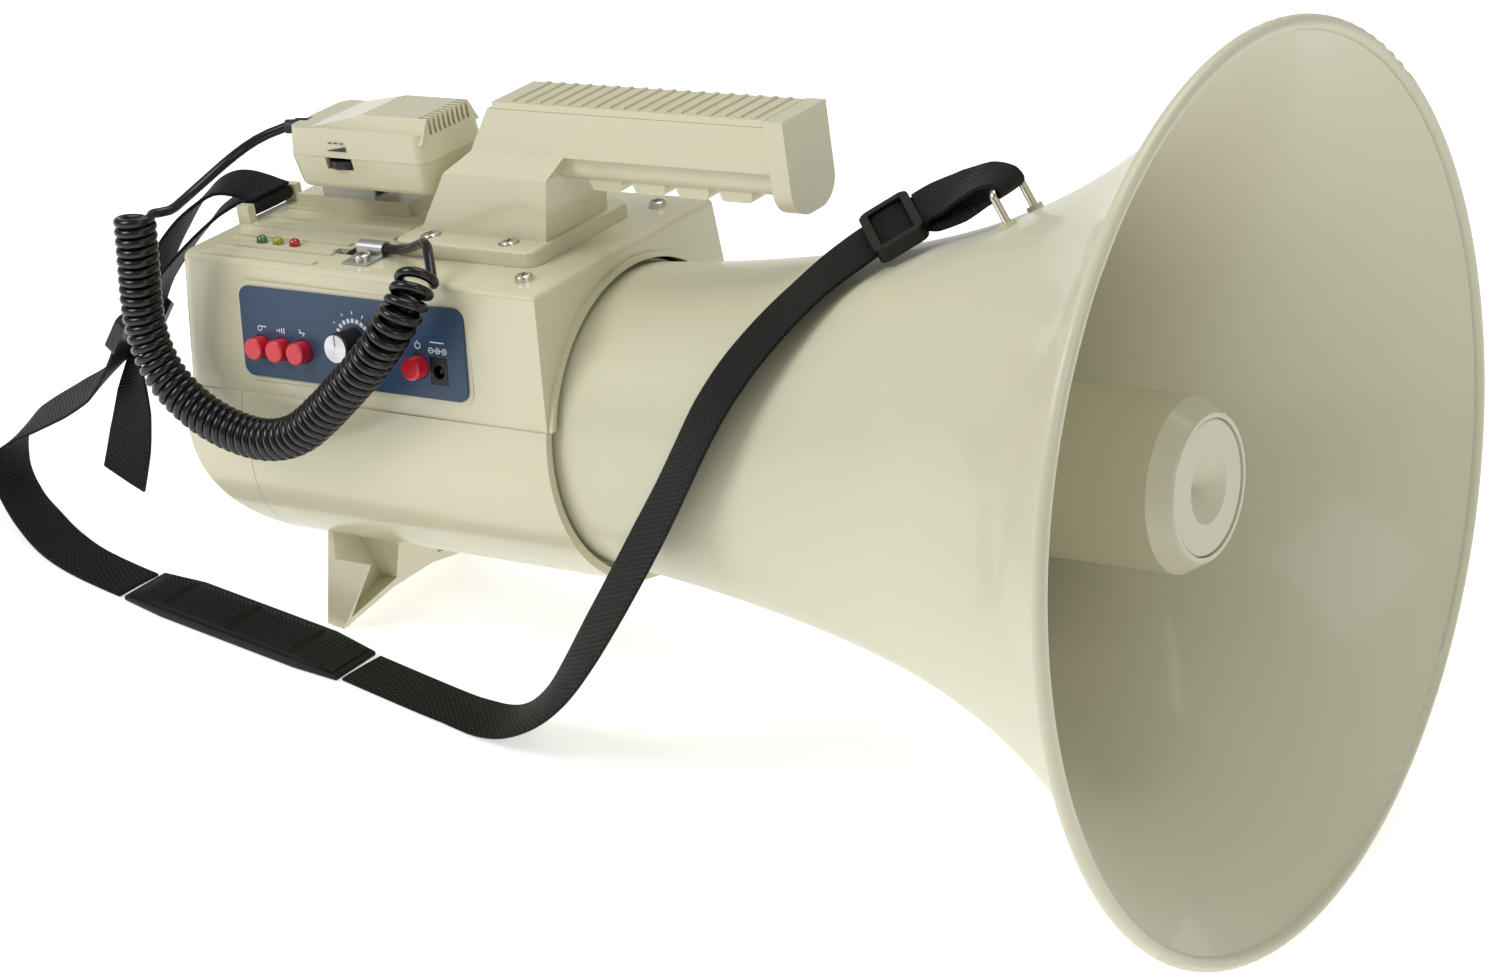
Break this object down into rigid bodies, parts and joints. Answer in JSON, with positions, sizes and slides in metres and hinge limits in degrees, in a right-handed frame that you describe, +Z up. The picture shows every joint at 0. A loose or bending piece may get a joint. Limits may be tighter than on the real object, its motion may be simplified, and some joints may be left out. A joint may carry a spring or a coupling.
{
  "type": "megaphone",
  "caption": "Large megaphone with a flared bell, top grip handle, side control panel, clip-on fist microphone on a curly cord and a webbing shoulder strap.",
  "frame": {"origin": "on the floor, under the middle of the megaphone and its strap, the cords left out", "axes": "+X forwards to the mouth, level; +Z up; the horn axis points nose up by 9.4 degrees; the control panel and the strap are on the -Y side"},
  "size_m": [0.677, 0.36, 0.3552],
  "materials": {
    "bell_plastic": "satin moulded",
    "ivory_plastic": "glossy moulded",
    "black_plastic": "semi-gloss moulded",
    "navy_panel": "satin sheet",
    "red_button": "glossy moulded",
    "brushed_cap": "spun",
    "bright_metal": "plated",
    "screw_metal": "plated",
    "zinc_clamp": "zinc plated",
    "cast_metal": "cast",
    "magnet": "sintered",
    "film": "film",
    "board_green": "solder mask",
    "cell_jacket": "printed sleeve",
    "cord_black": "glossy PVC",
    "black_rubber": "matt",
    "pad_rubber": "moulded dimples",
    "black_webbing": "ribbed weave",
    "led_green": "tinted resin",
    "led_yellow": "tinted resin",
    "led_red": "tinted resin"
  },
  "bodies": {
    "shell": {"battery_cells": "cell_jacket", "battery_holder": "black_plastic", "cable_clamp": "zinc_clamp", "circuit_board": "board_green", "clamp_lead": "cord_black", "clamp_screw": "screw_metal", "control_panel": "navy_panel", "cup_struts": "bell_plastic", "curly_cord": "cord_black", "dc_jack": "black_plastic", "driver_back_plate": "cast_metal", "driver_diaphragm": "film", "driver_housing": "cast_metal", "driver_magnet": "magnet", "handle_body": "ivory_plastic", "handle_cover": "ivory_plastic", "handle_screws": "screw_metal", "heat_sink": "cast_metal", "horn_bell": "bell_plastic", "housing_screws": "screw_metal", "inner_tube": "bell_plastic", "led_green": "led_green", "led_red": "led_red", "led_yellow": "led_yellow", "loop_nuts": "bright_metal", "lower_housing": "ivory_plastic", "mic_hanger": "zinc_clamp", "potentiometer": "bright_metal", "reflector_cap": "bell_plastic", "reflector_cup": "bell_plastic", "shoulder_pad": "pad_rubber", "slider_front": "black_plastic", "slider_rear": "black_plastic", "spider": "bell_plastic", "strap_front": "black_webbing", "strap_front_loop": "black_webbing", "strap_rear": "black_webbing", "strap_rear_loop": "black_webbing", "strap_tail": "black_webbing", "switch_bodies": "black_plastic", "transformer": "magnet", "upper_housing": "ivory_plastic", "wire_loop": "bright_metal"},
    "battery_door": {"battery_door": "ivory_plastic"},
    "whistle_key": {"whistle_button": "red_button"},
    "siren_key": {"siren_button": "red_button"},
    "usb_key": {"usb_button": "red_button"},
    "power_key": {"power_button": "red_button"},
    "knob": {"volume_knob": "black_plastic", "knob_cap": "brushed_cap"},
    "microphone": {"mic_rear_shell": "ivory_plastic", "mic_front_shell": "ivory_plastic", "mic_board": "board_green", "mic_capsule": "bright_metal", "mic_boot": "black_rubber", "mic_stud": "bright_metal", "mic_lead": "cord_black"},
    "mic_wheel": {"mic_thumbwheel": "black_plastic"},
    "talk_key": {"talk_button": "black_plastic"}
  },
  "joints": [
    {"name": "battery_door_slide", "type": "slide", "parent": "shell", "child": "battery_door", "axis": [-0.9865, 0, -0.164], "range_m": [0, 0.025]},
    {"name": "whistle_press", "type": "slide", "parent": "shell", "child": "whistle_key", "axis": [0.0229, 0.9902, -0.1376], "range_m": [0, 0.002], "stiffness_N_per_m": 900},
    {"name": "siren_press", "type": "slide", "parent": "shell", "child": "siren_key", "axis": [0.0229, 0.9902, -0.1376], "range_m": [0, 0.002], "stiffness_N_per_m": 900},
    {"name": "usb_press", "type": "slide", "parent": "shell", "child": "usb_key", "axis": [0.0229, 0.9902, -0.1376], "range_m": [0, 0.002], "stiffness_N_per_m": 900},
    {"name": "power_press", "type": "slide", "parent": "shell", "child": "power_key", "axis": [0.0229, 0.9902, -0.1376], "range_m": [0, 0.002], "stiffness_N_per_m": 900},
    {"name": "knob_turn", "type": "hinge", "parent": "shell", "child": "knob", "pos_m": [-0.09158, -0.07059, 0.16023], "axis": [-0.0229, -0.9902, 0.1376], "range_deg": [-140, 140]},
    {"name": "mic_lift_off", "type": "slide", "parent": "shell", "child": "microphone", "axis": [-0.9865, 0, -0.164], "range_m": [0, 0.028]},
    {"name": "mic_wheel_turn", "type": "hinge", "parent": "microphone", "child": "mic_wheel", "pos_m": [-0.13408, -0.0144, 0.21463], "axis": [-0.164, 0, 0.9865], "range_deg": [-120, 120]},
    {"name": "talk_press", "type": "slide", "parent": "microphone", "child": "talk_key", "axis": [0, -1, 0], "range_m": [0, 0.0018], "stiffness_N_per_m": 900}
  ]
}
